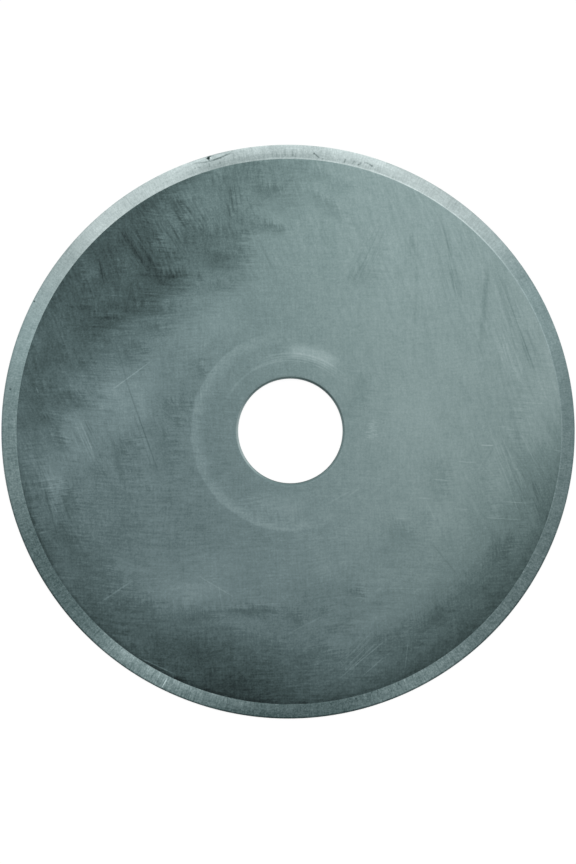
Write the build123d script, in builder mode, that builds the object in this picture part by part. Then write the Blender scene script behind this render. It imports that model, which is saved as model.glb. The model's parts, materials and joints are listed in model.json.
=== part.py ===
from build123d import *
import os
from math import atan, radians, tan

# Round cutting blade for a hand-held rotary cutter: one thin disc of hardened steel with a plain
# bore, ground from both faces to a fine edge. Sizes are millimetres. The blade lies flat with +Z up,
# and its origin is on the bore's axis, on the face that it lies on.

# Disc
blade_diameter = 45.0
blade_thickness = 0.3

# Bore, which turns on the cutter's 8 mm sleeve
bore_diameter = 8.2
bore_roll = 0.17  # radius of the rounded edge on the upper face
bore_break = 0.03  # chamfer on the lower face

# Cutting edge, the same on both faces
bevel_width = 1.09  # radial width of the whole ground edge
hone_width = 0.08  # radial width of the steeper honed strip at the rim, part of the bevel
hone_thickness = 0.06  # steel left where the honed strip begins
edge_land = 0.016  # blunt flat left on the rim itself

# Flake lost from the upper bevel, with a nick in it
flake_angle = 105.2  # degrees anticlockwise from +X
flake_reach = 0.49  # how far in from the rim it runs
flake_tilt = 1.25  # degrees by which its floor is steeper than the bevel
nick_angle = 106.2  # degrees anticlockwise from +X
nick_inset = 0.21  # from the rim to the middle of the nick
nick_radius = 0.18
nick_depth = 0.06

rim_radius = blade_diameter / 2
bore_radius = bore_diameter / 2
bevel_radius = rim_radius - bevel_width
hone_radius = rim_radius - hone_width
middle = blade_thickness / 2
bevel_slope = (blade_thickness - hone_thickness) / 2 / (hone_radius - bevel_radius)


def bevel_height(inset):
    """Height of the upper bevel at a distance in from the rim."""
    return middle + hone_thickness / 2 + (inset - hone_width) * bevel_slope


with BuildPart() as blade:
    # Half section. The bore's edge is rounded on the upper face, where the punch went in, and just
    # broken on the lower one.
    with BuildSketch(Plane.XZ) as section:
        with BuildLine():
            Polyline(
                (bore_radius, 0),
                (bevel_radius, 0),
                (hone_radius, middle - hone_thickness / 2),
                (rim_radius, middle - edge_land / 2),
                (rim_radius, middle + edge_land / 2),
                (hone_radius, middle + hone_thickness / 2),
                (bevel_radius, blade_thickness),
                (bore_radius, blade_thickness),
                close=True,
            )
        make_face()
        bore_corners = section.vertices().group_by(Axis.X)[0].sort_by(Axis.Y)
        chamfer(bore_corners[0], length=bore_break)
        fillet(bore_corners[-1], radius=bore_roll)
    revolve(axis=Axis.Z)

    # Flake: a flat facet, a little steeper than the bevel, which thins out to nothing at both ends
    flake_root = rim_radius - flake_reach
    flake_slope = tan(atan(bevel_slope) + radians(flake_tilt))
    flake_end = rim_radius + flake_reach
    with BuildSketch(Plane.XZ.rotated((0, 0, flake_angle))):
        with BuildLine():
            Polyline(
                (flake_root, bevel_height(flake_reach)),
                (flake_end, bevel_height(flake_reach) - (flake_end - flake_root) * flake_slope),
                (flake_end, blade_thickness),
                (flake_root, blade_thickness),
                close=True,
            )
        make_face()
    extrude(amount=rim_radius, both=True, mode=Mode.SUBTRACT)

    # Nick: a pointed dent near the rim, inside the flake
    nick_top = bevel_height(nick_inset)
    with Locations((0, 0, nick_top - nick_depth)):
        with PolarLocations(rim_radius - nick_inset, 1, nick_angle):
            Cone(
                bottom_radius=0,
                top_radius=2 * nick_radius,
                height=2 * nick_depth,
                align=(Align.CENTER, Align.CENTER, Align.MIN),
                mode=Mode.SUBTRACT,
            )

blade.part.label = "blade"

os.makedirs("parts", exist_ok=True)
export_step(blade.part, "parts/blade.step")
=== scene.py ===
import json
from math import atan2, cos, degrees, hypot, pi, radians, sin

import bpy
from mathutils import Matrix, Vector


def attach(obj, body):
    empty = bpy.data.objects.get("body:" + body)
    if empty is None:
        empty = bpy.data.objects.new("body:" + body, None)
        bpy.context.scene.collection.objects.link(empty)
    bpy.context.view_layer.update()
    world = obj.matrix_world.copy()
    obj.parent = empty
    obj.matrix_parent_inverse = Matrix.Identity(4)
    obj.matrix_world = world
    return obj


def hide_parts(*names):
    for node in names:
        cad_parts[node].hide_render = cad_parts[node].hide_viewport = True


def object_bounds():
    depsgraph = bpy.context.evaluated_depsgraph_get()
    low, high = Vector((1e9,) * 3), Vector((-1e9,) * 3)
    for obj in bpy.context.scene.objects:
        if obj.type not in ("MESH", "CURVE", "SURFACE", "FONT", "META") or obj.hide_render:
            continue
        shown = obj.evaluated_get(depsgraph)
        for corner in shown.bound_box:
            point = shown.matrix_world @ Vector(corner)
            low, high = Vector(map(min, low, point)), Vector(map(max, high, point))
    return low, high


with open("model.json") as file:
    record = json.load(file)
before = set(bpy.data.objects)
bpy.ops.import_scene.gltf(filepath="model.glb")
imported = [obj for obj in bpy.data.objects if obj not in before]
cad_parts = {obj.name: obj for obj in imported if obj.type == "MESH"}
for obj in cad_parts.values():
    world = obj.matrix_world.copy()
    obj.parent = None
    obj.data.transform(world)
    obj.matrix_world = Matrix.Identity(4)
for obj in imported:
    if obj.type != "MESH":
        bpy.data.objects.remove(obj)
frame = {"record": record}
cad_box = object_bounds()

# A rotary cutter blade, lying flat and seen from straight above. Lengths are millimetres in the
# blade's own frame and become metres where a mesh, the camera or the floor is made.
MM = 0.001

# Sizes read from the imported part
LOW, HIGH = cad_box
RIM = min(-LOW[0], -LOW[1], HIGH[0], HIGH[1]) / MM
THICK = HIGH[2] / MM
MIDDLE = THICK / 2
BORE = next(m["dims"]["r_mm"] for m in frame["record"]["mounts"] if m["name"] == "bore")

# Sizes of its section
BORE_ROLL = 0.17  # radius of the bore's rounded upper edge
BORE_BREAK = 0.03  # chamfer of its lower edge
BEVEL_WIDTH = 1.14
BEVEL_RUNOUT = 0.05  # the bevel is this much wider on the left, and narrower on the right
CORNER = 0.07  # half width of the rounded corner between face and bevel
HONE_WIDTH = 0.08  # of the steeper strip at the rim
HONE_THICK = 0.06  # steel left where that strip begins
EDGE_LAND = 0.016  # blunt flat on the rim itself

# Height of the photograph in pixels, and how many of them a millimetre of the blade takes
PHOTO_HEIGHT = 864
PIXELS_PER_MM = 12.757

# Length of the lines in a group of grinding lines, in millimetres
LINE_LENGTH = 3.0


def smooth(low, high, value):
    """0 below low, 1 above high, and an S-shaped rise between them."""
    t = min(max((value - low) / (high - low), 0), 1)
    return t * t * (3 - 2 * t)


# Damage to the upper bevel: a flake with a round outline and a nick in it, and small pits. Places are
# millimetres from the bore's axis.
FLAKE_RADIUS = 5.6  # of its outline
FLAKE_REACH = 0.43  # in from the rim
FLAKE_ANGLE = radians(106.1)
FLAKE_STEP = 0.012  # drop just inside the outline
FLAKE_STEP_WIDTH = 0.07
FLAKE_TILT = 0.012  # further drop for each millimetre inside it
NICK = (-6.46, 21.37)
NICK_RADIUS = 0.17
NICK_DEPTH = 0.05
NICK_LIP = (-6.26, 21.38)
LIP_RADIUS = 0.10
LIP_HEIGHT = 0.014
PITS = [
    # x, y, radius, depth
    (-21.81, 3.20, 0.13, 0.016),
    (-20.00, 10.05, 0.12, 0.022),
    (1.85, 21.80, 0.12, 0.012),
    (2.42, 21.99, 0.09, 0.003),
    (2.52, 21.36, 0.10, 0.005),
    (3.33, 21.43, 0.08, 0.003),
    (5.08, 21.12, 0.10, 0.004),
    (5.35, 20.96, 0.10, 0.004),
    (6.46, 20.85, 0.12, 0.008),
    (-5.53, 21.00, 0.12, 0.005),
    (-7.48, 20.56, 0.09, 0.004),
    (-7.12, 20.59, 0.09, 0.004),
]


def dent(x, y, place, radius):
    """1 at a place, falling smoothly to 0 at a radius round it."""
    return 1 - smooth(0, radius, hypot(x - place[0], y - place[1]))


def bevel_start(angle):
    """Radius at which the upper bevel leaves the flat face."""
    return RIM - BEVEL_WIDTH + BEVEL_RUNOUT * cos(angle)


def inside_flake(x, y):
    """How far a place lies inside the flake's outline; negative outside it."""
    centre = RIM - FLAKE_REACH + FLAKE_RADIUS
    return FLAKE_RADIUS - hypot(x - centre * cos(FLAKE_ANGLE), y - centre * sin(FLAKE_ANGLE))


def damage(x, y):
    """How far the upper bevel is sunk at a place."""
    deep = 0
    inside = inside_flake(x, y)
    if inside > 0:
        deep += FLAKE_STEP * smooth(0, FLAKE_STEP_WIDTH, inside) + FLAKE_TILT * inside
    deep += NICK_DEPTH * dent(x, y, NICK, NICK_RADIUS)
    deep -= LIP_HEIGHT * dent(x, y, NICK_LIP, LIP_RADIUS)
    for pit_x, pit_y, radius, depth in PITS:
        deep += depth * dent(x, y, (pit_x, pit_y), radius)
    return deep


# The finishes of the surface, which are also the numbers of its materials
FACE, BEVEL, BORE_EDGE, LOWER_FACE = range(4)


def bore_points():
    """The bore's wall and its rounded upper edge, from the foot up."""
    points = [
        (BORE + BORE_BREAK, 0, BORE_EDGE),
        (BORE, BORE_BREAK, BORE_EDGE),
        (BORE, THICK - BORE_ROLL, BORE_EDGE),
    ]
    steps = 8
    for k in range(1, steps + 1):
        turn = pi / 2 * k / steps
        radius, height = BORE + BORE_ROLL * (1 - cos(turn)), THICK - BORE_ROLL * (1 - sin(turn))
        points.append((radius, height, BORE_EDGE if k < steps else FACE))
    return points


def upper_points(start, slope):
    """The upper face, its rounded corner and the bevel, which starts at a radius and has a slope."""
    inner, outer = BORE + BORE_ROLL, start - 0.1
    shares = (0.01, 0.1, 0.3, 0.5, 0.7, 0.85, 0.95, 0.99)
    points = [(inner + share * (outer - inner), THICK, FACE) for share in shares]
    for k in range(-2, 3):
        t = (k + 2) / 4
        points.append((start + CORNER * k / 2, THICK - slope * CORNER * t * t, FACE if k < 0 else BEVEL))
    steps = 20
    first = start + CORNER * 1.4
    for k in range(steps + 1):
        radius = first + (RIM - HONE_WIDTH - first) * k / steps
        points.append((radius, THICK - slope * (radius - start), BEVEL))
    return points


def edge_points():
    """The honed strip, the blunt rim and the honed strip's lower side."""
    hone_slope = (HONE_THICK - EDGE_LAND) / 2 / HONE_WIDTH
    points = []
    for share in (0.2, 0.6, 1.0):
        inset = HONE_WIDTH * (1 - share)
        points.append((RIM - inset, MIDDLE + EDGE_LAND / 2 + hone_slope * inset, BEVEL))
    points.append((RIM, MIDDLE - EDGE_LAND / 2, BEVEL))
    points.append((RIM - HONE_WIDTH, MIDDLE - HONE_THICK / 2, BEVEL))
    return points


def lower_points(start, slope):
    """The lower bevel's corner, rounded in one step, and the lower face, from the outside in."""
    inner, outer = BORE + BORE_BREAK, start - CORNER
    points = [(start + CORNER, slope * CORNER * 0.6, BEVEL), (outer, 0, LOWER_FACE)]
    for share in (0.98, 0.5, 0.02):
        points.append((inner + share * (outer - inner), 0, LOWER_FACE))
    return points


def section(angle):
    """The blade's half section as (radius, height, finish), from the foot of the bore up and round to
    the lower face."""
    start = bevel_start(angle)
    slope = (THICK - HONE_THICK) / 2 / (RIM - HONE_WIDTH - start)
    return bore_points() + upper_points(start, slope) + edge_points() + lower_points(start, slope)


def columns():
    """Angles of the mesh's radial columns, closer together at the flake and the pits."""
    wide, fine, flake_half = radians(0.4), radians(0.06), radians(6)
    close = [(FLAKE_ANGLE - flake_half, FLAKE_ANGLE + flake_half)]
    for x, y, radius, _ in PITS:
        middle, half = atan2(y, x), (radius + 0.02) / RIM
        close.append((middle - half, middle + half))
    angles, angle = [], -pi
    while angle < pi - fine:
        angles.append(angle)
        near = any(low - wide < angle < high for low, high in close)
        angle += fine if near else wide
    return angles


def blade_mesh():
    """The blade as one closed mesh of rings and columns, with its damage in the surface."""
    angles = columns()
    outline = [section(angle) for angle in angles]
    rows = len(outline[0])
    places = []
    for angle, points in zip(angles, outline):
        for radius, height, finish in points:
            x, y = radius * cos(angle), radius * sin(angle)
            if finish == BEVEL and height > MIDDLE + EDGE_LAND / 2:
                height = max(height - damage(x, y), MIDDLE + EDGE_LAND / 4)
            places.append((x * MM, y * MM, height * MM))
    faces, finishes = [], []
    count = len(angles)
    for i in range(count):
        for j in range(rows):
            a, b = i * rows + j, i * rows + (j + 1) % rows
            c, d = (i + 1) % count * rows + (j + 1) % rows, (i + 1) % count * rows + j
            faces.append((a, d, c, b))
            finishes.append(outline[i][j][2])
    mesh = bpy.data.meshes.new("cutting_blade")
    mesh.from_pydata(places, [], faces)
    mesh.polygons.foreach_set("material_index", finishes)
    mesh.shade_smooth()
    mesh.set_sharp_from_angle(angle=radians(30))
    mesh.update()
    return mesh


class Nodes:
    """A node tree, written as short calls. Each call adds a node and gives back its first output."""

    def __init__(self, tree):
        self.tree = tree
        tree.nodes.clear()

    def node(self, kind, inputs, **settings):
        made = self.tree.nodes.new(kind)
        for name, value in settings.items():
            setattr(made, name, value)
        for key, value in inputs.items():
            if isinstance(value, bpy.types.NodeSocket):
                self.tree.links.new(value, made.inputs[key])
            else:
                made.inputs[key].default_value = value
        return made

    def math(self, operation, *values):
        return self.node("ShaderNodeMath", dict(enumerate(values)), operation=operation).outputs[0]

    def times(self, first, second):
        return self.math("MULTIPLY", first, second)

    def plus(self, base, value, times=1.0):
        return self.math("MULTIPLY_ADD", value, times, base)

    def vector(self, operation, *values):
        made = self.node("ShaderNodeVectorMath", dict(enumerate(values)), operation=operation)
        return made.outputs["Value" if operation in ("LENGTH", "DOT_PRODUCT") else "Vector"]

    def scaled(self, vector, factor):
        return self.vector("MULTIPLY", vector, (factor, factor, factor))

    def xyz(self, x=0.0, y=0.0, z=0.0):
        return self.node("ShaderNodeCombineXYZ", {0: x, 1: y, 2: z}).outputs[0]

    def split(self, vector):
        return self.node("ShaderNodeSeparateXYZ", {0: vector}).outputs

    def rise(self, value, low, high, bottom=0.0, top=1.0):
        """An S-shaped rise from bottom to top as a value goes from low to high."""
        inputs = {"Value": value, "From Min": low, "From Max": high, "To Min": bottom, "To Max": top}
        return self.node("ShaderNodeMapRange", inputs, interpolation_type="SMOOTHSTEP").outputs[0]

    def band(self, value, middle, half):
        """1 at a value, falling to 0 at a distance of half on both sides."""
        return self.rise(self.math("ABSOLUTE", self.math("SUBTRACT", value, middle)), half, 0.0)

    def toward(self, way, angle, low, high=1.0):
        """How much a direction faces an angle in degrees: from 0, where the cosine of the angle between
        them is below low, to 1, where it is above high."""
        aim = (cos(radians(angle)), sin(radians(angle)), 0)
        return self.rise(self.vector("DOT_PRODUCT", way, aim), low, high)

    def noise(self, vector, detail=2.0, rough=0.5):
        """Noise from about -0.5 to 0.5, with features one unit of the vector across."""
        inputs = {"Vector": vector, "Scale": 1.0, "Detail": detail, "Roughness": rough}
        return self.math("SUBTRACT", self.node("ShaderNodeTexNoise", inputs).outputs[0], 0.5)

    def stretched(self, place, turn, length, width, seed):
        """A place turned in degrees and divided by a length and a width, to draw a noise out."""
        inputs = {
            "Vector": place,
            "Location": (0, 0, seed),
            "Rotation": (0, 0, radians(turn)),
            "Scale": (length, width, 1),
        }
        return self.node("ShaderNodeMapping", inputs, vector_type="TEXTURE").outputs[0]

    def streaks(self, place, turn, length, width, seed, detail=2.0):
        """Noise drawn out into streaks that lie at a turn in degrees."""
        return self.noise(self.stretched(place, turn, length, width, seed), detail, 0.6)

    def mark(self, group, tone, place, middle, turn, length, width, strength, **more):
        """A tone with one mark added, by a group of nodes that knows its shape. Length and width are
        half sizes in the place's own measure, the turn is in degrees, and the place's third value
        is 1."""
        (x, y), c, s = middle, cos(radians(turn)), sin(radians(turn))
        inputs = {
            "Tone": tone,
            "Place": place,
            "Along": (c / length, s / length, -(x * c + y * s) / length),
            "Across": (-s / width, c / width, (x * s - y * c) / width),
            "Strength": strength,
        }
        return self.node("ShaderNodeGroup", inputs | more, node_tree=group).outputs[0]

    def patch(self, tone, place, x, y, length, width, turn, strength, core=0.25):
        """A tone with a soft ellipse added, which is at its full strength in its core."""
        return self.mark(PATCH, tone, place, (x, y), turn, length, width, strength, Core=core)

    def hatch(self, tone, place, own, x, y, length, width, turn, line, strength):
        """A tone with a patch of lines side by side added, about a line's width apart."""
        lines = self.streaks(own, turn, LINE_LENGTH * MM, line * MM, x - y, 1.0)
        return self.mark(HATCH, tone, place, (x, y), turn, length, width, strength, Lines=lines)

    def scratch(self, tone, place, start, end, width, strength):
        """A tone with a straight scratch added, which fades out at its sides and ends."""
        (x0, y0), (x1, y1) = start, end
        middle = ((x0 + x1) / 2, (y0 + y1) / 2)
        turn = degrees(atan2(y1 - y0, x1 - x0))
        half = hypot(x1 - x0, y1 - y0) / 2
        return self.mark(SCRATCH, tone, place, middle, turn, half, width / 2, strength)

    def shade(self, tone, colour_at):
        """Steel's colour for a tone: 0 is black and 1 white, as they look on screen."""
        made = self.node("ShaderNodeValToRGB", {0: tone})
        ramp = made.color_ramp
        count = 9
        while len(ramp.elements) < count:
            ramp.elements.new(0.5)
        for k, element in enumerate(ramp.elements):
            element.position = 0.15 + 0.1 * k
            element.color = colour_at(0.15 + 0.1 * k)
        return made.outputs[0]

    def blend(self, share, first, second):
        """A colour from the first, where share is 0, to the second, where it is 1."""
        made = self.node("ShaderNodeMix", {0: share, 6: first, 7: second}, data_type="RGBA")
        return made.outputs[2]


# Every mark is one group of nodes, which keeps the script quick. Cycles keeps a number waiting for
# each mark and has room for few more. Where the room runs out, a material renders black, with no
# error.


def mark_group(name, settings, shape):
    """A group of nodes that adds a mark to a tone. Along and Across turn a place into its distances
    from the mark's middle, as shares of the mark's half sizes, and the shape is how much of the mark
    there is at those distances. The shape may have settings of its own."""
    tree = bpy.data.node_groups.new(name, "ShaderNodeTree")
    nodes = Nodes(tree)
    numbers, vectors = ("Tone", "Strength", *settings), ("Place", "Along", "Across")
    for socket in numbers:
        tree.interface.new_socket(socket, in_out="INPUT", socket_type="NodeSocketFloat")
    for socket in vectors:
        tree.interface.new_socket(socket, in_out="INPUT", socket_type="NodeSocketVector")
    tree.interface.new_socket("Tone", in_out="OUTPUT", socket_type="NodeSocketFloat")
    given = nodes.node("NodeGroupInput", {}).outputs
    along = nodes.vector("DOT_PRODUCT", given["Place"], given["Along"])
    across = nodes.vector("DOT_PRODUCT", given["Place"], given["Across"])
    amount = shape(nodes, along, across, *(given[socket] for socket in settings))
    nodes.node("NodeGroupOutput", {"Tone": nodes.plus(given["Tone"], amount, given["Strength"])})
    return tree


def patch_shape(nodes, along, across, core):
    """A soft ellipse: 1 inside its core, given as a share of its size, and 0 outside it."""
    squared = nodes.plus(nodes.times(along, along), across, across)
    return nodes.rise(nodes.math("SQRT", squared), 1.0, core)


def hatch_shape(nodes, along, across, lines):
    """A soft ellipse of lines, which come from a noise."""
    return nodes.times(nodes.rise(lines, -0.05, 0.2), patch_shape(nodes, along, across, 0.3))


def scratch_shape(nodes, along, across):
    """A line that fades out at its sides and ends."""
    ends = nodes.rise(nodes.math("ABSOLUTE", along), 1.1, 0.5)
    return nodes.times(ends, nodes.rise(nodes.math("ABSOLUTE", across), 1.0, 0.0))


PATCH = mark_group("patch", ("Core",), patch_shape)
HATCH = mark_group("hatch", ("Lines",), hatch_shape)
SCRATCH = mark_group("scratch", (), scratch_shape)


def linear(shown):
    """A colour value as it looks on screen, 0 to 1, as the linear value that shaders use."""
    return shown / 12.92 if shown <= 0.04045 else ((shown + 0.055) / 1.055) ** 2.4


def steel(tone, tint, blue=0.51):
    """A grey at a tone. Red falls short of it by a tint, which blue and green share between them."""
    return (linear(tone - tint), linear(tone + (1 - blue) * tint), linear(tone + blue * tint), 1)


def face_tint(tone):
    """The faces' tint, which is less where they are darkest."""
    return max(0.054 - 0.23 * (tone - 0.55) ** 2, 0)


def face_steel(tone):
    return steel(tone, face_tint(tone))


def bluish_steel(tone):
    """The face at the lower left, less blue where it is dark."""
    return steel(tone, 1.03 * face_tint(tone), 0.53 + 0.05 * smooth(0.38, 0.50, tone))


def greenish_steel(tone):
    """The face at the upper right."""
    return steel(tone, face_tint(tone), 0.485)


def bevel_steel(tone):
    """Most of the bevel."""
    return steel(tone, 0.059, 0.53)


def lit_bevel_steel(tone):
    """The bevel at the top, paler as a painted reflection."""
    return steel(tone, 0.034, 0.48)


def new_material(name):
    material = bpy.data.materials.new(name)
    material.use_nodes = True
    return material, Nodes(material.node_tree)


def blade_place(nodes):
    """Position on the blade in millimetres, its distance and direction from the bore's axis, and its
    height."""
    own = nodes.node("ShaderNodeTexCoord", {}).outputs["Object"]
    x, y, z = nodes.split(nodes.scaled(own, 1 / MM))
    flat = nodes.xyz(x, y)
    return flat, nodes.vector("LENGTH", flat), nodes.vector("NORMALIZE", flat), z


def marked_place(nodes, flat):
    """A flat position as marks are placed by, with 1 as its third value."""
    return nodes.vector("ADD", flat, (0, 0, 1))


def finish_metal(nodes, colour, roughness, height, depth):
    """The shader itself, from a colour, a roughness and a height between about -1 and 1."""
    normal = nodes.node("ShaderNodeBump", {"Height": height, "Strength": 1.0, "Distance": depth * MM})
    shader = nodes.node("ShaderNodeBsdfPrincipled", {
        "Base Color": colour,
        "Metallic": 1.0,
        "Roughness": roughness,
        "Normal": normal.outputs[0],
    })
    nodes.node("ShaderNodeOutputMaterial", {"Surface": shader.outputs[0]})


# Grinding leaves level, upright and slanting marks on the faces. The slant is in degrees, and the
# depth in millimetres.
SLANT = 113
GROUND_DEPTH = 0.002


def brushing(nodes, flat):
    """The grinding marks of a face, as three sets of streaks and a grain."""
    wander = {"Vector": flat, "Scale": 0.10, "Detail": 1.0}
    bend = nodes.node("ShaderNodeTexNoise", wander).outputs["Color"]
    bent = nodes.vector("ADD", flat, nodes.scaled(bend, 2.5))
    level = nodes.streaks(bent, 0, 1.6, 0.15, 1.0, 3.0)
    upright = nodes.streaks(bent, 90, 1.6, 0.15, 2.0, 3.0)
    slant = nodes.streaks(bent, SLANT, 3.0, 0.22, 3.0, 4.0)
    grain = nodes.noise(nodes.scaled(flat, 6.5), 1.0, 0.7)
    return level, upright, slant, grain


# The upper face's base tone rises from left to right, as a painted reflection
TONE_LEFT, TONE_RIGHT = 0.485, 0.61

# Stains and painted reflections, darker and lighter places of the upper face: middle, half length and
# half width in millimetres, turn in degrees, and what they add to the tone
STAINS_AND_REFLECTIONS = [
    # Dark crescent at the upper left, and the light streak under it
    (-14.2, 13.9, 18.0, 8.5, 46, -0.17),
    (-1.7, 20.0, 6.0, 4.5, 60, -0.06),
    (-5.2, 14.9, 4.0, 2.5, 50, -0.06),
    (-21.1, 2.9, 6.0, 5.0, 80, -0.08),
    (-12.7, 2.9, 5.5, 2.8, 65, 0.06),
    (-16.6, -0.6, 4.0, 2.5, 110, 0.04),
    # Left and below
    (-21.5, -7.5, 7.0, 4.5, 105, -0.10),
    (-11.1, -12.5, 5.0, 4.0, 140, 0.05),
    (-6.7, -11.0, 5.0, 2.5, 0, 0.03),
    (-6.2, -20.5, 9.0, 6.0, 3, -0.08),
    (2.8, -13.6, 6.0, 3.5, 10, -0.04),
    # Right
    (13.4, -15.1, 9.0, 4.0, 45, -0.06),
    (8.8, -9.6, 5.0, 3.0, 20, -0.03),
    (21.0, 2.9, 6.0, 3.0, 90, 0.04),
]
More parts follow.
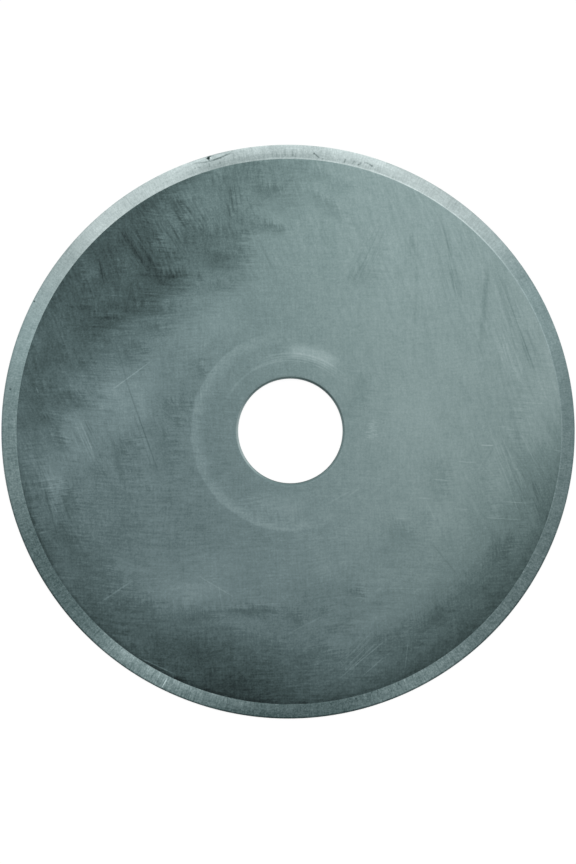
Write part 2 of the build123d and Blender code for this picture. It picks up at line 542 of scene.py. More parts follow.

# Smaller blotches of stain and painted reflection, given in the same way
BLOTCHES = [
    # Upper left
    (-7.7, 17.9, 3.0, 2.3, 10, 0.08),
    (-9.5, 15.8, 2.6, 1.3, 100, 0.06),
    (-4.0, 17.6, 1.5, 0.8, 90, 0.04),
    (-1.6, 18.9, 1.9, 0.8, -15, -0.05),
    (-1.8, 15.9, 2.2, 0.6, -8, -0.06),
    (-2.0, 17.4, 1.6, 1.0, 0, 0.03),
    (-9.0, 11.6, 2.8, 1.2, 12, -0.06),
    (-5.5, 11.3, 2.2, 0.9, 10, -0.05),
    (-11.2, 9.4, 3.2, 0.8, 0, -0.06),
    (-12.9, 8.0, 1.5, 0.6, 0, 0.03),
    (-4.8, 13.2, 2.5, 1.4, 18, -0.08),
    (-12.2, 5.7, 1.7, 1.5, 45, -0.07),
    (-13.2, 11.4, 2.4, 1.2, 40, 0.03),
    (-15.6, 12.7, 1.9, 0.9, 90, 0.08),
    (-10.6, 16.5, 1.5, 0.9, 70, 0.05),
    (-8.8, 17.1, 1.6, 0.6, 115, -0.08),
    (-9.8, 14.6, 1.1, 0.9, 90, 0.05),
    (-5.7, 16.3, 1.7, 0.8, 15, 0.05),
    (-4.0, 15.3, 1.3, 0.6, -10, -0.04),
    (-18.4, 8.4, 3.2, 1.3, 65, 0.04),
    (-19.1, 4.3, 1.3, 0.9, 60, 0.04),
    (-17.4, 2.3, 1.8, 1.1, 10, -0.07),
    (-20.3, 5.7, 3.0, 1.4, 75, 0.05),
    (-6.2, 7.4, 4.0, 2.0, 40, 0.04),
    (-15.1, 10.4, 1.6, 1.0, 60, 0.05),
    (-12.7, 13.2, 1.3, 0.8, 120, 0.05),
    (-8.9, 16.4, 1.8, 0.7, 110, 0.04),
    (-13.6, 15.4, 1.8, 0.8, 50, 0.03),
    (-6.2, 20.2, 1.6, 0.9, 15, 0.04),
    (-17.4, 7.1, 1.4, 0.8, 90, 0.03),
    (-15.1, 4.9, 1.1, 0.7, 90, 0.03),
    (-1.1, 16.6, 1.6, 0.6, 0, 0.03),
    (-3.2, 18.6, 1.2, 0.7, 100, 0.03),
    (-10.8, 12.6, 1.4, 1.1, 45, -0.06),
    (-15.6, 13.2, 1.0, 0.7, 100, -0.04),
    (-3.7, 12.0, 1.4, 0.9, 0, -0.03),
    (-5.9, 6.8, 2.0, 0.7, 40, -0.03),
    (-6.6, 8.9, 5.5, 0.7, 31, 0.02),
    (-10.7, 7.8, 1.4, 0.9, 0, -0.03),
    (-14.1, 8.4, 1.4, 0.8, 0, -0.03),
    (-16.6, 5.1, 1.0, 0.7, 0, -0.04),
    (-12.4, 4.2, 2.2, 0.6, 0, -0.03),
    (-18.6, 0.8, 2.4, 0.7, 5, -0.05),
    (-8.8, 1.9, 1.3, 0.9, 0, -0.04),
    (-11.5, 1.9, 1.6, 1.0, 90, 0.03),
    (-9.6, 11.9, 1.8, 0.8, 8, -0.05),
    (-7.2, 4.9, 1.6, 0.5, 120, -0.04),
    (-9.4, 1.4, 1.6, 0.5, 105, -0.03),
    (-16.0, 2.0, 1.3, 0.8, 0, -0.03),
    # Lower left and the middle of the bottom
    (-11.0, -3.9, 1.5, 0.9, 120, 0.03),
    (-18.1, -4.8, 2.2, 0.6, 110, 0.04),
    (-18.8, -8.0, 1.4, 0.6, 110, 0.03),
    (-12.1, -16.0, 2.8, 0.9, 135, 0.04),
    (-10.0, -18.4, 1.5, 0.7, 150, 0.03),
    (-16.7, -9.3, 2.2, 1.2, 100, -0.04),
    (-15.2, -3.3, 1.4, 0.7, 120, -0.03),
    (-11.9, -13.6, 2.2, 1.0, 0, -0.03),
    (-18.1, -0.8, 1.8, 0.8, 140, -0.06),
    (-13.2, -1.4, 1.3, 0.7, 100, -0.04),
    (-11.4, -1.1, 1.8, 0.8, 110, 0.04),
    (-9.5, -1.6, 3.5, 1.0, 95, -0.03),
    (-20.9, -2.1, 1.6, 1.0, 90, -0.05),
    (-17.1, -5.6, 1.8, 0.9, 100, -0.05),
    (-17.9, -3.8, 1.6, 0.8, 100, 0.03),
    (-19.1, -7.0, 1.8, 0.9, 115, 0.05),
    (-17.9, -7.9, 1.8, 0.8, 140, -0.05),
    (-13.4, -11.0, 1.6, 1.2, 90, 0.03),
    (-6.7, -12.8, 2.6, 1.5, 0, 0.05),
    (-2.5, -14.1, 2.6, 0.9, -5, -0.05),
    (-1.6, -16.8, 1.4, 1.1, 0, -0.04),
    (-8.2, -18.6, 3.2, 1.6, -32, 0.06),
    (-5.0, -18.2, 2.6, 1.6, 0, 0.03),
    (-1.0, -5.8, 3.4, 1.4, -4, 0.04),
    (-9.0, -12.7, 3.4, 1.4, -12, 0.03),
    (-3.6, -15.2, 2.4, 0.8, 0, 0.02),
    (-7.0, -17.2, 1.8, 1.0, 0, -0.02),
    (-7.0, -14.5, 2.0, 0.5, 14, -0.03),
    (-3.2, -14.0, 3.2, 0.5, 2, -0.03),
    (0.4, -14.7, 1.4, 0.6, -45, -0.045),
    (-18.6, -3.4, 2.4, 0.9, 104, 0.03),
    # Upper right
    (2.8, 17.6, 2.8, 0.8, -35, -0.04),
    (3.8, 19.2, 1.6, 1.0, 0, -0.03),
    (5.6, 12.2, 1.6, 1.4, 0, -0.03),
    (8.1, 14.0, 2.4, 1.2, 90, 0.02),
    (18.7, 8.9, 1.6, 1.0, 100, 0.03),
    (18.8, 0.4, 4.0, 1.4, 92, 0.04),
    (9.4, 0.9, 4.5, 3.0, 90, 0.02),
    (2.3, 20.1, 1.3, 0.8, 0, -0.04),
    (18.1, 4.7, 1.6, 0.7, 100, 0.03),
    (5.3, 2.9, 2.8, 1.4, 60, -0.022),
    (6.4, 0.1, 1.1, 0.4, 90, 0.07),
    # Lower right
    (3.8, -16.7, 1.2, 0.9, 0, 0.03),
    (3.1, -11.4, 1.2, 1.1, 0, 0.02),
    (18.9, -7.4, 2.6, 0.9, 70, 0.03),
    (0.8, -17.9, 1.6, 1.6, 90, -0.03),
    (7.4, -13.1, 2.0, 0.9, 35, -0.03),
    (9.4, -17.0, 1.8, 0.8, 30, -0.03),
    (10.9, -2.6, 1.0, 0.8, 0, -0.02),
    (16.4, -9.4, 1.8, 1.1, 60, -0.05),
    (16.6, -4.5, 3.2, 1.4, 100, 0.04),
    (11.6, -3.9, 2.6, 1.3, 80, -0.035),
    (8.2, -7.7, 2.2, 1.2, -30, -0.03),
    (10.5, -6.9, 1.3, 0.8, 90, -0.03),
    (7.4, -16.7, 2.8, 1.4, 22, -0.05),
    (4.6, -11.9, 2.4, 1.2, 110, -0.02),
    (9.2, -15.1, 1.4, 0.7, 35, -0.04),
    (2.8, -17.4, 1.6, 0.9, 0, -0.03),
    (20.4, -2.1, 5.0, 1.0, 90, 0.015),
    (10.9, -16.3, 2.2, 1.0, 40, 0.03),
    (11.4, -14.6, 2.8, 1.0, 38, -0.04),
    (6.0, -15.0, 2.4, 0.9, 15, 0.03),
    (5.1, -12.7, 0.8, 0.4, -30, -0.05),
    (2.6, -14.0, 1.0, 0.4, 20, -0.04),
]

# Groups of grinding lines of the upper face: middle, half length and half width in millimetres,
# turn in degrees, width of a line, and what they add to the tone
HATCHES = [
    (-4.5, 18.0, 2.4, 1.0, 98, 0.17, -0.05),
    (-7.9, 17.1, 2.4, 1.4, 126, 0.17, -0.03),
    (-9.4, 15.5, 2.0, 1.0, 120, 0.17, -0.05),
    (-12.5, 14.1, 2.8, 1.4, 122, 0.20, -0.03),
    (-10.2, 10.7, 3.0, 1.2, -3, 0.16, -0.04),
    (-14.2, 8.1, 3.4, 1.2, 0, 0.16, -0.03),
    (6.1, 14.0, 3.8, 1.4, 65, 0.16, -0.045),
    (9.6, 14.0, 2.6, 0.8, 92, 0.15, -0.05),
    (12.5, 13.0, 5.4, 1.4, 104, 0.17, -0.045),
    (15.3, 10.2, 4.6, 0.6, 84, 0.35, -0.015),
    (18.0, 8.6, 5.4, 1.0, 110, 0.15, -0.055),
    (17.2, 6.0, 3.2, 1.1, 109, 0.16, 0.05),
    (18.6, 4.6, 3.8, 1.0, 109, 0.15, -0.03),
    (-16.1, -0.8, 2.4, 0.8, 115, 0.17, 0.08),
    (-15.3, -0.7, 2.2, 0.4, 114, 0.14, -0.08),
    (-18.7, -5.0, 3.0, 1.1, 112, 0.20, 0.03),
    (-17.7, -6.0, 3.0, 0.8, 112, 0.20, -0.03),
    (17.2, -3.0, 4.2, 1.4, 113, 0.13, 0.04),
    (18.8, -4.6, 3.6, 1.2, 112, 0.15, -0.04),
    (18.9, 0.2, 3.0, 1.2, 113, 0.15, 0.03),
    (15.5, -2.1, 2.0, 0.9, 60, 0.13, 0.025),
    (5.4, -17.5, 3.0, 1.3, 45, 0.13, 0.05),
    (-3.2, -13.7, 3.0, 0.5, 0, 0.13, 0.04),
]

# Single scratches of the upper face: ends and width in millimetres, what they add to the tone
SCRATCHES = [
    # Upper left
    ((-13.40, 15.90), (-11.50, 13.05), 0.60, -0.04),
    ((-12.45, 15.75), (-11.05, 13.75), 0.20, 0.04),
    ((-12.05, 15.30), (-10.50, 12.45), 0.55, -0.035),
    ((-8.70, 18.10), (-6.80, 16.05), 0.30, -0.04),
    ((-9.30, 17.60), (-8.10, 15.70), 0.28, -0.04),
    ((-7.70, 18.05), (-6.60, 16.25), 0.22, -0.03),
    ((-4.80, 19.45), (-4.40, 16.85), 0.20, -0.05),
    ((-4.50, 19.75), (-4.10, 16.95), 0.16, -0.045),
    ((-5.00, 17.85), (-4.70, 16.65), 0.22, -0.05),
    ((-14.95, 13.30), (-14.55, 11.45), 0.17, -0.05),
    ((-18.80, 9.65), (-17.40, 6.10), 0.25, -0.02),
    ((-14.75, 10.60), (-12.65, 10.50), 0.18, 0.03),
    ((-12.75, 10.15), (-10.15, 10.10), 0.32, -0.03),
    ((-15.90, 9.20), (-12.90, 9.10), 0.18, 0.03),
    ((-15.10, 8.75), (-12.45, 8.80), 0.40, -0.025),
    ((-10.80, 11.25), (-7.70, 11.20), 0.16, 0.03),
    ((-12.35, 12.20), (-8.15, 11.95), 0.30, -0.025),
    ((-17.75, 9.70), (-15.35, 9.60), 0.50, -0.02),
    # Left of the bore
    ((-14.05, 3.10), (-10.80, 5.50), 0.14, 0.09),
    ((-13.75, 7.30), (-12.45, 2.70), 0.24, -0.025),
    ((-13.05, 4.50), (-10.25, -3.45), 0.20, -0.06),
    ((-12.35, 1.60), (-10.85, -2.80), 0.18, -0.03),
    ((-16.50, 1.10), (-15.05, -2.65), 0.18, 0.05),
    ((-13.90, -0.60), (-12.90, -4.60), 0.70, -0.03),
    ((-19.90, -1.60), (-18.10, -8.30), 0.25, -0.04),
    # Above the bore, and one at the left rim
    ((-2.60, 15.20), (-0.90, 11.60), 0.35, -0.03),
    ((-19.80, 3.40), (-19.60, 2.90), 0.12, 0.09),
    # Lower left
    ((-14.95, -13.45), (-12.30, -11.65), 0.22, 0.07),
    ((-5.65, -11.80), (-5.45, -13.25), 0.14, 0.05),
    ((-12.05, -17.50), (-8.90, -19.00), 0.14, 0.10),
    ((-7.30, -11.25), (-4.30, -13.05), 0.14, 0.05),
    # Upper border of the stain at the bottom
    ((-6.00, -14.15), (-0.40, -13.85), 0.35, -0.02),
    ((-5.50, -13.75), (-3.20, -13.60), 0.15, 0.03),
    ((-2.80, -13.55), (-0.80, -13.50), 0.14, 0.05),
    # Lower right
    ((3.80, -19.40), (7.55, -16.30), 0.14, 0.07),
    ((5.50, -19.30), (7.35, -17.70), 0.14, 0.06),
    ((9.25, -16.40), (8.95, -18.90), 0.12, 0.07),
    ((14.85, -1.10), (16.05, -1.15), 0.13, 0.12),
    ((11.15, -3.80), (12.50, -3.90), 0.13, 0.09),
    ((16.70, -5.55), (18.80, -5.70), 0.13, 0.08),
    ((13.15, -2.40), (14.65, -2.50), 0.14, 0.07),
    ((9.80, -5.25), (11.00, -5.30), 0.14, 0.07),
    ((15.20, -6.80), (18.35, -7.00), 0.13, 0.07),
    ((12.80, -6.10), (14.00, -6.20), 0.13, 0.05),
    ((8.30, -6.85), (9.10, -6.90), 0.14, 0.06),
    ((16.45, 0.00), (18.05, -3.60), 0.14, 0.035),
    ((17.95, 0.20), (19.40, -2.70), 0.14, 0.05),
    ((16.85, -3.30), (18.15, -6.95), 0.14, 0.04),
    ((2.90, -5.70), (4.90, -4.60), 0.17, 0.035),
    ((4.40, -5.20), (5.40, -4.50), 0.20, 0.035),
    ((10.45, -5.00), (11.45, -7.20), 0.12, 0.035),
    ((10.90, -8.60), (13.20, -11.40), 0.20, -0.04),
    ((-0.30, -15.90), (2.50, -14.50), 0.20, 0.04),
    ((20.70, -1.45), (21.60, -1.65), 0.13, 0.06),
    # Upper right
    ((15.65, 13.50), (14.95, 6.20), 0.75, -0.045),
    ((10.00, 14.20), (9.70, 5.80), 0.45, -0.025),
    ((16.60, 12.00), (19.50, 4.20), 0.18, -0.075),
    ((17.05, 9.30), (17.95, 5.50), 0.17, -0.03),
    ((11.70, 17.05), (12.80, 13.40), 0.25, -0.04),
    ((12.20, 15.90), (13.10, 9.90), 0.16, -0.035),
    ((18.60, 2.25), (20.20, 2.15), 0.13, 0.06),
    ((16.20, 0.35), (17.40, 0.30), 0.13, 0.06),
]


def washer_rings_and_highlights(nodes, flat, radius, way):
    """Marks that the cutter's washer has rubbed round the bore, shown partly as painted highlights where
    the rings face the light.
    """
    wavy = nodes.plus(radius, nodes.noise(nodes.scaled(flat, 0.3)), 0.4)
    seat = nodes.times(nodes.rise(wavy, 6.5, 7.6), nodes.rise(wavy, 7.92, 7.74))
    marks = nodes.times(nodes.times(seat, nodes.toward(way, 195, -0.5, 0.6)), 0.055)
    # The rubbed rings are painted bright only in the directions where they catch the light: painted
    # highlights
    rubbed = nodes.times(nodes.rise(radius, 5.5, 6.2), nodes.rise(radius, 7.1, 6.4))
    marks = nodes.plus(marks, nodes.times(rubbed, nodes.toward(way, 74, 0.92, 0.998)), 0.09)
    rings = nodes.band(radius, 5.70, 0.10)
    for ring, width in ((5.50, 0.08), (5.86, 0.10), (6.08, 0.12)):
        rings = nodes.math("ADD", rings, nodes.band(radius, ring, width))
    marks = nodes.plus(marks, nodes.times(rings, nodes.toward(way, 80, 0.76, 0.97)), 0.045)
    inner = nodes.times(nodes.band(radius, 5.58, 0.16), nodes.toward(way, 124, 0.82, 0.95))
    return nodes.plus(marks, inner, 0.035)


def stain_reflection_and_shade_tone(nodes, flat, radius, way, drifted):
    """The upper face's tone with its painted shade, its stains and its painted reflections."""
    across = nodes.vector("DOT_PRODUCT", flat, (1, 0.1, 0))
    tone = nodes.rise(across, -14.0, 14.0, TONE_LEFT, TONE_RIGHT)
    # Painted shade: the face darker towards the rim below the bore, and in a narrow band at the rim to
    # the lower right
    shade = nodes.times(nodes.toward(way, 285, -0.1, 0.75), nodes.rise(radius, 13.0, 22.0))
    tone = nodes.plus(tone, shade, -0.16)
    edge_shade = nodes.times(nodes.toward(way, 310, 0.5, 0.95), nodes.rise(radius, 19.6, 21.5))
    tone = nodes.plus(tone, edge_shade, -0.06)
    for stain in STAINS_AND_REFLECTIONS + BLOTCHES:
        tone = nodes.patch(tone, drifted, *stain)
    return tone


def ground_marks(nodes, flat, radius, way, brushed, cloud):
    """What grinding adds to the upper face's tone, with other marks in other parts of the face."""
    level, upright, slant, grain = brushed
    mottle = nodes.noise(nodes.scaled(flat, 2.2), 2.0, 0.6)

    # Level marks, strongest at the lower left and weaker at the left rim
    lower_left = nodes.toward(way, 235, -0.5, 0.9)
    outer = nodes.rise(radius, 9.0, 19.0, 0.5, 1.4)
    left_rim = nodes.times(nodes.toward(way, 176, 0.7, 0.97), nodes.rise(radius, 15.0, 19.0))
    marks = nodes.times(level, nodes.plus(nodes.plus(0.055, lower_left, 0.065), left_rim, -0.05))
    marks = nodes.plus(marks, upright, 0.07)

    # Slanting marks, which give way to rising ones at the bottom
    below = nodes.toward(way, 268, 0.15, 0.75)
    slant_share = nodes.times(outer, nodes.plus(1.0, below, -0.75))
    marks = nodes.plus(marks, nodes.times(slant, slant_share), 0.08)
    rising = nodes.streaks(flat, 35, 1.4, 0.22, 4.0, 3.0)
    marks = nodes.plus(marks, nodes.times(rising, nodes.times(outer, below)), 0.05)

    # Long streaks at the upper right
    long_streaks = nodes.streaks(flat, 106, 8.0, 0.28, 6.0, 2.0)
    upper_right = nodes.times(nodes.toward(way, 35, 0.55, 0.9), nodes.rise(radius, 8.0, 15.0))
    marks = nodes.plus(marks, nodes.times(long_streaks, upper_right), 0.06)

    marks = nodes.plus(marks, cloud, 0.08)
    marks = nodes.plus(marks, mottle, 0.07)
    return nodes.plus(marks, grain, 0.11)


def face_material():
    """Upper face: dull ground steel with stains, painted reflections and painted shade, rubbed rings
    with painted highlights, grinding marks and scratches.
    """
    material, nodes = new_material("face_steel")
    flat, radius, way, _ = blade_place(nodes)
    brushed = brushing(nodes, flat)
    level, upright, slant, grain = brushed

    # The borders of the stains break up along the grinding marks
    drift = nodes.xyz(nodes.plus(nodes.times(level, 3.0), slant, 0.8), nodes.plus(slant, upright, 1.0))
    marked = marked_place(nodes, flat)
    drifted = nodes.vector("ADD", marked, drift)
    tone = stain_reflection_and_shade_tone(nodes, flat, radius, way, drifted)

    # Marks show more where the face's tone is darker, from stains, painted shade and painted reflections
    gain = nodes.rise(tone, 0.62, 0.36, 0.9, 1.45)
    cloud = nodes.noise(nodes.scaled(flat, 0.5), 4.0, 0.6)
    marks = ground_marks(nodes, flat, radius, way, brushed, cloud)
    own = nodes.node("ShaderNodeTexCoord", {}).outputs["Object"]
    for lines in HATCHES:
        marks = nodes.hatch(marks, marked, own, *lines)
    for scratch in SCRATCHES:
        marks = nodes.scratch(marks, marked, *scratch)
    tone = nodes.math("ADD", nodes.plus(tone, marks, gain), washer_rings_and_highlights(nodes, flat, radius, way))

    # Painted shadow: next to the bevel the face is darker at the lower left
    foot = nodes.band(radius, RIM - BEVEL_WIDTH - 0.12, 0.22)
    tone = nodes.plus(tone, nodes.times(foot, nodes.toward(way, 245, 0.3, 0.9)), -0.05)

    # The steel is bluish at the lower left and greenish at the upper right
    share = nodes.rise(nodes.vector("DOT_PRODUCT", flat, (-0.83, -0.56, 0)), -12.0, 12.0)
    colour = nodes.blend(share, nodes.shade(tone, greenish_steel), nodes.shade(tone, bluish_steel))
    height = nodes.plus(nodes.math("ADD", level, upright), nodes.math("ADD", slant, grain))
    finish_metal(nodes, colour, nodes.plus(0.34, cloud, 0.12), height, GROUND_DEPTH)
    return material


# The bevel's tone, and where light and shade are painted on it, brighter or darker: direction and half
# width in degrees, and what it adds
BEVEL_TONE = 0.59
PAINTED_BEVEL_LIGHTS = [
    (30, 22, 0.035),
    (61, 27, 0.13),
    (90, 18, 0.05),
    (122, 20, 0.125),
    (150, 26, 0.075),
    (212, 20, -0.10),
    (238, 13, 0.06),
    (272, 19, -0.09),
    (301, 11, 0.04),
]

# The nick, with painted shade in it and a painted highlight on its lip, and the light strips on both
# sides of it:
# middle, half length and half width in millimetres, turn in degrees, and what they add to the tone
NICK_MARKS = [
    (*NICK, 0.18, 0.13, 20, -0.50),
    (-6.36, 21.50, 0.24, 0.07, 20, -0.32),
    (-6.41, 21.25, 0.14, 0.08, 115, -0.28),
    (*NICK_LIP, 0.12, 0.10, 0, 0.16),
    (-5.55, 21.62, 0.60, 0.14, 15, 0.04),
    (-7.15, 21.20, 0.60, 0.12, 20, 0.03),
]

# Single marks of the bevel: ends and width in millimetres, and what they add to the tone
BEVEL_SCRATCHES = [
    # By the flake: its darker right border, and ticks across the bevel
    ((-6.15, 21.20), (-5.35, 21.46), 0.26, -0.14),
    ((-5.60, 21.40), (-4.80, 21.76), 0.16, -0.06),
    ((-6.41, 21.01), (-6.33, 20.61), 0.13, -0.14),
    ((-4.49, 21.81), (-4.45, 21.18), 0.16, -0.07),
    ((-4.04, 21.59), (-4.00, 21.18), 0.14, -0.06),
    ((-3.50, 21.93), (-3.42, 21.28), 0.12, -0.05),
    # Left of the flake
    ((-17.64, 13.77), (-17.10, 14.47), 0.12, -0.09),
    ((-17.34, 13.62), (-16.90, 14.07), 0.10, -0.06),
    ((-16.55, 14.87), (-16.25, 15.22), 0.10, -0.05),
    # Top
    ((-1.43, 21.98), (-1.45, 21.45), 0.16, -0.07),
    ((-1.09, 21.94), (-1.12, 21.53), 0.14, -0.06),
    ((-0.44, 22.31), (-0.42, 21.49), 0.18, -0.07),
    ((0.14, 22.08), (0.16, 21.50), 0.22, -0.08),
    ((0.41, 21.88), (0.39, 21.48), 0.14, -0.08),
    ((0.88, 22.14), (0.93, 21.66), 0.14, -0.05),
    ((1.33, 22.09), (1.40, 21.64), 0.14, -0.05),
    ((2.27, 21.94), (2.49, 21.83), 0.16, -0.08),
    ((3.11, 21.82), (3.23, 21.32), 0.16, -0.05),
    # Right of the top
    ((1.83, 21.85), (2.28, 21.43), 0.17, -0.17),
    ((4.20, 21.06), (4.35, 21.44), 0.20, -0.15),
    ((4.84, 20.94), (5.08, 21.31), 0.20, -0.12),
    ((5.24, 20.86), (5.65, 21.15), 0.22, -0.12),
    ((5.77, 21.14), (6.20, 21.04), 0.20, -0.14),
    ((6.18, 21.05), (6.46, 20.79), 0.20, -0.15),
    # Lower left
    ((-9.57, -19.21), (-10.07, -20.07), 0.15, 0.32),
    ((-10.12, -18.99), (-10.50, -19.73), 0.14, -0.12),
    ((-10.47, -18.65), (-10.93, -19.32), 0.14, -0.08),
    ((-11.10, -18.27), (-11.41, -18.89), 0.14, -0.08),
    ((-12.27, -17.61), (-12.72, -18.35), 0.14, -0.08),
    ((-7.75, -20.26), (-7.98, -20.90), 0.14, -0.07),
    ((-4.87, -20.83), (-5.06, -21.72), 0.14, -0.09),
    # Bottom
    ((7.12, -20.96), (7.24, -21.71), 0.10, 0.14),
]


def damage_marks(nodes, flat, way, mottle, marks):
    """The bevel's marks with its damage added: painted shade along the flake's outline, painted shade
    and a painted highlight at the nick, and the pits painted darker the deeper they are."""
    centre = RIM - FLAKE_REACH + FLAKE_RADIUS
    middle = (centre * cos(FLAKE_ANGLE), centre * sin(FLAKE_ANGLE), 0)
    from_middle = nodes.vector("LENGTH", nodes.vector("SUBTRACT", flat, middle))
    wavy = nodes.plus(from_middle, mottle, 0.15)
    outline = nodes.times(nodes.band(wavy, FLAKE_RADIUS, 0.11), nodes.toward(way, 106, 0.9970, 0.9990))
    marks = nodes.plus(marks, outline, -0.14)
    marked = marked_place(nodes, flat)
    for mark in NICK_MARKS:
        marks = nodes.patch(marks, marked, *mark)
    for x, y, size, depth in PITS:
        marks = nodes.patch(marks, marked, x, y, size, size, 0, -0.05 - 8 * depth)
    for scratch in BEVEL_SCRATCHES:
        marks = nodes.scratch(marks, marked, *scratch)
    return marks


def bevel_marks(nodes, flat, radius, way):
    """What grinding and damage add to the bevel's tone, and the height of the grinding marks."""
    outward = nodes.xyz(0.0, 0.0, nodes.times(radius, 0.9))
    lines = nodes.noise(nodes.vector("ADD", nodes.scaled(way, 190.0), outward), 2.0, 0.7)
    rings = nodes.vector("ADD", nodes.scaled(way, 12.0), nodes.xyz(0.0, 0.0, nodes.times(radius, 6.0)))
    blots = nodes.noise(nodes.scaled(flat, 0.7), 3.0, 0.6)
    mottle = nodes.noise(nodes.scaled(flat, 2.5), 4.0, 0.75)
    grain = nodes.noise(nodes.scaled(flat, 7.0), 1.0, 0.7)
    rough = nodes.toward(way, 262, -0.35, 0.6)
    streaky = nodes.math("ADD", nodes.toward(way, 240, 0.95), nodes.toward(way, 298, 0.97))
    marks = nodes.times(lines, nodes.plus(nodes.plus(0.13, rough, 0.10), streaky, 0.14))
    marks = nodes.plus(marks, nodes.noise(rings, 2.0, 0.6), 0.10)
    marks = nodes.plus(marks, blots, 0.08)
    marks = nodes.plus(marks, mottle, nodes.plus(0.16, rough, 0.20))
    marks = nodes.plus(marks, grain, nodes.plus(0.16, rough, 0.18))

    # Chips along the inner edge, at the bottom
    inner = nodes.band(radius, RIM - BEVEL_WIDTH + 0.22, 0.28)
    chips = nodes.rise(nodes.noise(nodes.scaled(flat, 4.0), 2.0, 0.6), 0.03, 0.16)
    chips = nodes.times(nodes.times(chips, inner), nodes.toward(way, 288, 0.985, 0.998))
    marks = nodes.plus(marks, chips, -0.20)

    marks = damage_marks(nodes, flat, way, mottle, marks)
    return marks, nodes.math("ADD", lines, grain)


def bevel_material():
    """Ground bevel: brighter steel with fine marks across the edge, painted light and shade, and a honed
    strip at the rim.
    """
    material, nodes = new_material("bevel_steel")
    flat, radius, way, _ = blade_place(nodes)
    marks, height = bevel_marks(nodes, flat, radius, way)
    tone = nodes.plus(BEVEL_TONE, marks)
    for angle, half, strength in PAINTED_BEVEL_LIGHTS:
        tone = nodes.plus(tone, nodes.toward(way, angle, cos(radians(half))), strength)

    # Painted light and shade: at the top the bevel is brighter near the rim, and at the lower left near
    # the face
    outward = nodes.rise(radius, RIM - 1.0, RIM - 0.2, -0.5, 0.5)
    tone = nodes.plus(tone, nodes.times(outward, nodes.toward(way, 90, 0.88, 0.97)), 0.10)
    tone = nodes.plus(tone, nodes.times(outward, nodes.toward(way, 250, 0.88, 0.98)), -0.10)

    # A painted glint on the inner edge on the right, and painted shade on the honed strip, darkest at
    # the bottom
    corner = nodes.band(radius, RIM - BEVEL_WIDTH + 0.06, 0.12)
    tone = nodes.plus(tone, nodes.times(corner, nodes.toward(way, 45, 0.2, 0.9)), 0.09)
    strip = nodes.rise(radius, RIM - HONE_WIDTH - 0.09, RIM - HONE_WIDTH - 0.01)
    tone = nodes.plus(tone, nodes.times(strip, nodes.toward(way, 270, 0.0, 0.9)), -0.11)

    # Its colour is nearly neutral at the top, a painted reflection
    share = nodes.toward(way, 95, 0.35, 0.85)
    colour = nodes.blend(share, nodes.shade(tone, bevel_steel), nodes.shade(tone, lit_bevel_steel))
    finish_metal(nodes, colour, 0.30, height, GROUND_DEPTH)
    return material


# The bore edge's tone, and where light and shade are painted on it, brighter or darker, given as for the
# bevel
BORE_TONE = 0.50
PAINTED_BORE_LIGHTS = [
    (0, 30, 0.04),
    (60, 28, -0.09),
    (190, 60, 0.20),
    (280, 35, -0.05),
]


def bore_material():
    """Rounded edge and wall of the bore, with light and shade painted by direction."""
    material, nodes = new_material("bore_steel")
    flat, radius, way, z = blade_place(nodes)
    rings = nodes.noise(nodes.xyz(nodes.times(z, 30.0), nodes.times(radius, 30.0)), 2.0)
    tone = nodes.plus(BORE_TONE, rings, 0.08)
    for angle, half, strength in PAINTED_BORE_LIGHTS:
        tone = nodes.plus(tone, nodes.toward(way, angle, cos(radians(half))), strength)
    finish_metal(nodes, nodes.shade(tone, face_steel), 0.38, rings, 0.001)
    return material


def lower_face_material():
    """Lower face: the same grinding marks, with no marks of use."""
    material, nodes = new_material("lower_face_steel")
    flat, _, _, _ = blade_place(nodes)
    level, upright, slant, grain = brushing(nodes, flat)
    cloud = nodes.noise(nodes.scaled(flat, 0.5), 4.0, 0.6)
    tone = nodes.plus((TONE_LEFT + TONE_RIGHT) / 2, cloud, 0.10)
    for marks, strength in ((level, 0.10), (upright, 0.07), (slant, 0.10), (grain, 0.10)):
        tone = nodes.plus(tone, marks, strength)
    height = nodes.plus(nodes.math("ADD", level, upright), nodes.math("ADD", slant, grain))
    roughness = nodes.plus(0.34, cloud, 0.12)
    finish_metal(nodes, nodes.shade(tone, face_steel), roughness, height, GROUND_DEPTH)
    return material


def make_blade():
    blade = bpy.data.objects.new("cutting_blade", blade_mesh())
    bpy.context.scene.collection.objects.link(blade)
    for material in (face_material(), bevel_material(), bore_material(), lower_face_material()):
        blade.data.materials.append(material)
    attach(blade, "root")
    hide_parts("blade")
    return blade


# Floor: white to the camera, with the blade's shadow kept in the part that is lit
FLOOR_SIDE = 2.0  # metres
FLOOR_GLOW = 0.82  # share of the floor that is plain white to the camera
FLOOR_WHITE = (0.9, 0.9, 0.9, 1)
FLOOR_BRIGHTNESS = 1.1  # of the plain white


def make_floor():
    half = FLOOR_SIDE / 2
    mesh = bpy.data.meshes.new("floor")
    corners = [(-half, -half, 0), (half, -half, 0), (half, half, 0), (-half, half, 0)]
    mesh.from_pydata(corners, [], [(0, 1, 2, 3)])
    floor = bpy.data.objects.new("floor", mesh)
    bpy.context.scene.collection.objects.link(floor)
    material, nodes = new_material("floor_white")
    lit = nodes.node("ShaderNodeBsdfDiffuse", {"Color": FLOOR_WHITE}).outputs[0]
    plain = {"Color": (1, 1, 1, 1), "Strength": FLOOR_BRIGHTNESS}
    glow = nodes.node("ShaderNodeEmission", plain).outputs[0]
    seen = nodes.node("ShaderNodeLightPath", {}).outputs["Is Camera Ray"]
    share = nodes.math("MULTIPLY", seen, FLOOR_GLOW)
    both = nodes.node("ShaderNodeMixShader", {0: share, 1: lit, 2: glow}).outputs[0]
    nodes.node("ShaderNodeOutputMaterial", {"Surface": both})
    floor.data.materials.append(material)


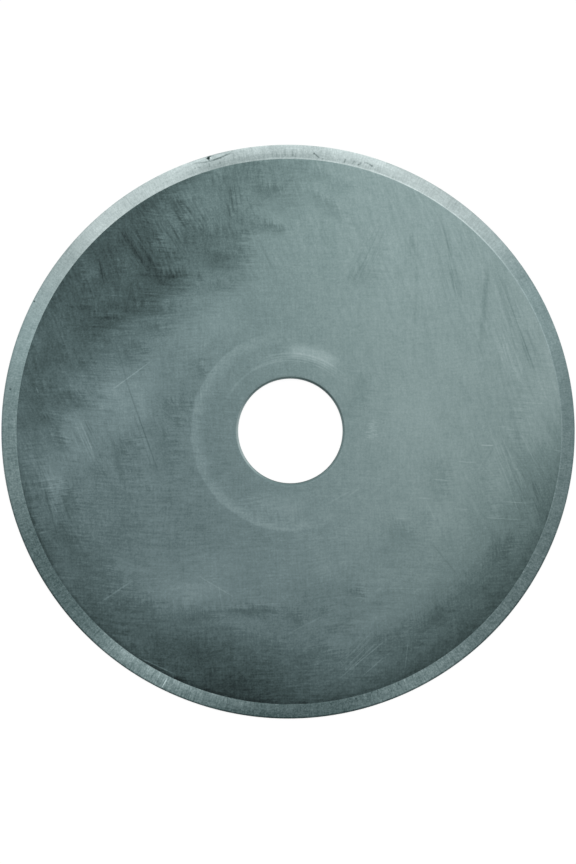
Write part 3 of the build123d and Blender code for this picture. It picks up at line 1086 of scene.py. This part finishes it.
# Two lamps high in front of the blade, reflected by the bevel at the bottom of the picture: the flat
# part of their direction, and how bright they are. Their size is a half width in the same measure.
LAMPS = [((-0.21, -0.37), 1.1), ((0.22, -0.36), 0.7)]
LAMP_SIZE = 0.18


def make_light():
    """A soft studio dome: high up, bright beyond the top of the blade and dim in front of it, and
    more even low down."""
    world = bpy.data.worlds.new("studio")
    bpy.context.scene.world = world
    world.use_nodes = True
    nodes = Nodes(world.node_tree)
    way = nodes.node("ShaderNodeTexCoord", {}).outputs["Generated"]
    x, y, z = nodes.split(way)
    over = nodes.rise(y, -0.6, 0.6, 0.25, 1.6)
    beside = nodes.rise(nodes.math("ABSOLUTE", x), 0.0, 0.6, 1.0, 0.5)
    above = nodes.times(over, beside)
    flat_way = nodes.xyz(x, y, 1.0)
    for place, brightness in LAMPS:
        above = nodes.patch(above, flat_way, *place, LAMP_SIZE, LAMP_SIZE, 0, brightness, 0.0)
    even = nodes.rise(nodes.plus(nodes.times(x, 0.5), y, 0.85), -1.0, 1.0, 0.65, 1.15)
    high = nodes.rise(z, 0.3, 0.75)
    strength = nodes.plus(even, nodes.times(high, nodes.math("SUBTRACT", above, even)))
    light = nodes.node("ShaderNodeBackground", {"Color": (1, 1, 1, 1), "Strength": strength}).outputs[0]
    white = nodes.node("ShaderNodeBackground", {"Color": (1, 1, 1, 1), "Strength": 1.0}).outputs[0]
    seen = nodes.node("ShaderNodeLightPath", {}).outputs["Is Camera Ray"]
    both = nodes.node("ShaderNodeMixShader", {0: seen, 1: light, 2: white}).outputs[0]
    nodes.node("ShaderNodeOutputWorld", {"Surface": both})


# Camera: above the blade and a little to its left, which shows the bore slightly right of the middle
CAMERA_DISTANCE = 110.0
CAMERA_LEAN = (radians(2.4), radians(0.8))  # to the left, and towards the bottom of the picture
AIM = (-0.195, -0.088, MIDDLE)  # the point that it looks at
SENSOR = 36.0  # any width does, as the lens follows from it


def make_camera():
    camera = bpy.data.objects.new("camera", bpy.data.cameras.new("camera"))
    bpy.context.scene.collection.objects.link(camera)
    left, down = CAMERA_LEAN
    forward = Vector((sin(left), sin(down), -cos(left) * cos(down))).normalized()
    up = Vector((0, 1, 0))
    right = forward.cross(up).normalized()
    place = Vector(AIM) - forward * CAMERA_DISTANCE
    turn = Matrix((right, right.cross(forward), -forward)).transposed()
    camera.matrix_world = Matrix.Translation(place * MM) @ turn.to_4x4()
    camera.data.sensor_width = SENSOR
    camera.data.lens = SENSOR * CAMERA_DISTANCE / (PHOTO_HEIGHT / PIXELS_PER_MM)
    camera.data.clip_start = 0.01
    camera.data.clip_end = 10.0
    bpy.context.scene.camera = camera


make_blade()
make_floor()
make_light()
make_camera()
bpy.context.scene.view_settings.view_transform = "Standard"
